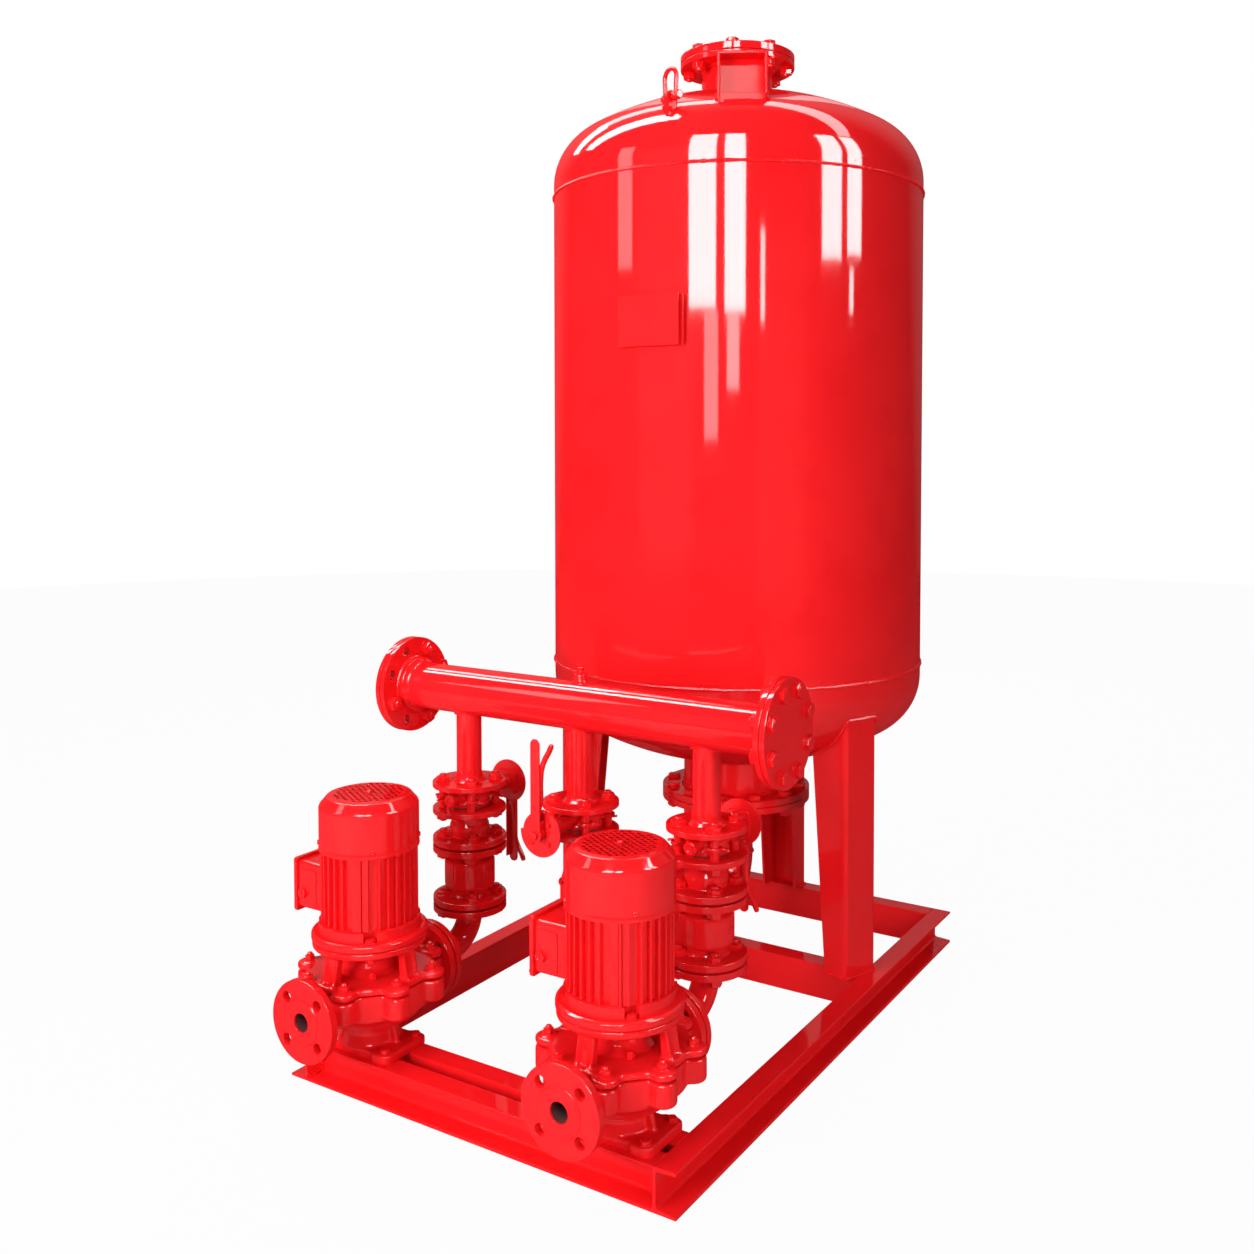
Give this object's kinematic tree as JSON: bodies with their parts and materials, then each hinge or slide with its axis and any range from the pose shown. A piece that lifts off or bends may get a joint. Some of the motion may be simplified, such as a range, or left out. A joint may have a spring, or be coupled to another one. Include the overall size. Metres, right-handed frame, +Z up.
{
  "type": "fire pump set",
  "caption": "Skid-mounted fire water booster set: vertical in-line pumps with check and butterfly valves under a flanged header, beside a standing diaphragm tank.",
  "frame": {"origin": "middle of the bounding box's footprint, on the floor under the skid", "axes": "+Z up, -Y towards the pumps' suction flanges, +X to the right when the pumps are faced"},
  "size_m": [0.8598, 1.4248, 1.9769],
  "materials": {
    "red_paint": "glossy fire red enamel",
    "painted_castings": "glossy fire red enamel over sand castings",
    "bare_steel": "machined",
    "cast_bronze": "cast and turned",
    "winding_core": "varnished laminations and copper windings",
    "black_rubber": "matte",
    "black_plastic": "matte"
  },
  "bodies": {
    "set": {"frame_left": "red_paint", "frame_right": "red_paint", "frame_front": "red_paint", "frame_rear": "red_paint", "cross_beams": "red_paint", "tank_shell": "red_paint", "tank_top_head": "red_paint", "tank_bottom_head": "red_paint", "tank_necks": "red_paint", "tank_legs": "red_paint", "tank_bladder": "black_rubber", "top_cover": "red_paint", "bottom_cover": "red_paint", "head_fittings": "red_paint", "nameplate": "red_paint", "header_pipe": "red_paint", "header_risers": "red_paint", "header_blinds": "red_paint", "gauge_plug": "red_paint", "tank_branch": "red_paint", "pump_left_casing": "painted_castings", "pump_left_cover": "painted_castings", "pump_left_motor": "red_paint", "pump_left_cowl": "red_paint", "pump_right_casing": "painted_castings", "pump_right_cover": "painted_castings", "pump_right_motor": "red_paint", "pump_right_cowl": "red_paint", "terminal_boxes": "red_paint", "motor_stators": "winding_core", "shaft_bearings": "bare_steel", "shaft_seals": "black_rubber", "valve_bodies": "painted_castings", "index_plates": "red_paint", "check_bodies": "painted_castings", "check_spring_left": "bare_steel", "check_spring_right": "bare_steel", "flex_joints": "red_paint", "discharge_elbows": "red_paint", "gaskets": "black_rubber", "flange_bolts": "red_paint", "pump_bolts": "red_paint"},
    "rotor_left": {"pump_left_shaft": "bare_steel", "pump_left_impeller": "cast_bronze", "pump_left_fan": "black_plastic"},
    "rotor_right": {"pump_right_shaft": "bare_steel", "pump_right_impeller": "cast_bronze", "pump_right_fan": "black_plastic"},
    "valve_left": {"valve_left_disc": "bare_steel", "valve_left_lever": "red_paint"},
    "valve_right": {"valve_right_disc": "bare_steel", "valve_right_lever": "red_paint"},
    "valve_tank": {"valve_tank_disc": "bare_steel", "valve_tank_lever": "red_paint"},
    "trigger_left": {"latch_left": "red_paint"},
    "trigger_right": {"latch_right": "red_paint"},
    "trigger_tank": {"latch_tank": "red_paint"},
    "check_left": {"check_disc_left": "bare_steel"},
    "check_right": {"check_disc_right": "bare_steel"},
    "shackle": {"shackle": "red_paint"}
  },
  "joints": [
    {"name": "pump_left_spin", "type": "hinge", "parent": "set", "child": "rotor_left", "pos_m": [-0.264, -0.5525, 0.167], "axis": [0, 0, 1], "continuous": true},
    {"name": "pump_right_spin", "type": "hinge", "parent": "set", "child": "rotor_right", "pos_m": [0.264, -0.5525, 0.167], "axis": [0, 0, 1], "continuous": true},
    {"name": "valve_left_turn", "type": "hinge", "parent": "set", "child": "valve_left", "pos_m": [-0.264, -0.2855, 0.447], "axis": [0, 1, 0], "range_deg": [0, 90]},
    {"name": "latch_left_squeeze", "type": "hinge", "parent": "valve_left", "child": "trigger_left", "pos_m": [-0.2665, -0.1565, 0.4], "axis": [0, 1, 0], "range_deg": [0, 8], "stiffness_Nm_per_rad": 2, "springref_deg": -5.73},
    {"name": "valve_right_turn", "type": "hinge", "parent": "set", "child": "valve_right", "pos_m": [0.264, -0.2855, 0.447], "axis": [0, 1, 0], "range_deg": [0, 90]},
    {"name": "latch_right_squeeze", "type": "hinge", "parent": "valve_right", "child": "trigger_right", "pos_m": [0.2615, -0.1565, 0.4], "axis": [0, 1, 0], "range_deg": [0, 8], "stiffness_Nm_per_rad": 2, "springref_deg": -5.73},
    {"name": "valve_tank_turn", "type": "hinge", "parent": "set", "child": "valve_tank", "pos_m": [0, -0.2855, 0.447], "axis": [0, -1, 0], "range_deg": [0, 90]},
    {"name": "latch_tank_squeeze", "type": "hinge", "parent": "valve_tank", "child": "trigger_tank", "pos_m": [-0.0025, -0.4145, 0.494], "axis": [0, -1, 0], "range_deg": [0, 8], "stiffness_Nm_per_rad": 2, "springref_deg": -5.73},
    {"name": "check_left_lift", "type": "slide", "parent": "set", "child": "check_left", "axis": [0, 0, 1], "range_m": [0, 0.01], "stiffness_N_per_m": 150, "springref_m": -0.006, "deforming": ["check_spring_left"]},
    {"name": "check_right_lift", "type": "slide", "parent": "set", "child": "check_right", "axis": [0, 0, 1], "range_m": [0, 0.01], "stiffness_N_per_m": 150, "springref_m": -0.006, "deforming": ["check_spring_right"]},
    {"name": "shackle_swing", "type": "hinge", "parent": "set", "child": "shackle", "pos_m": [0.05122, -0.05592, 1.78902], "axis": [0.9205, -0.3907, 0], "range_deg": [-35, 65]}
  ]
}
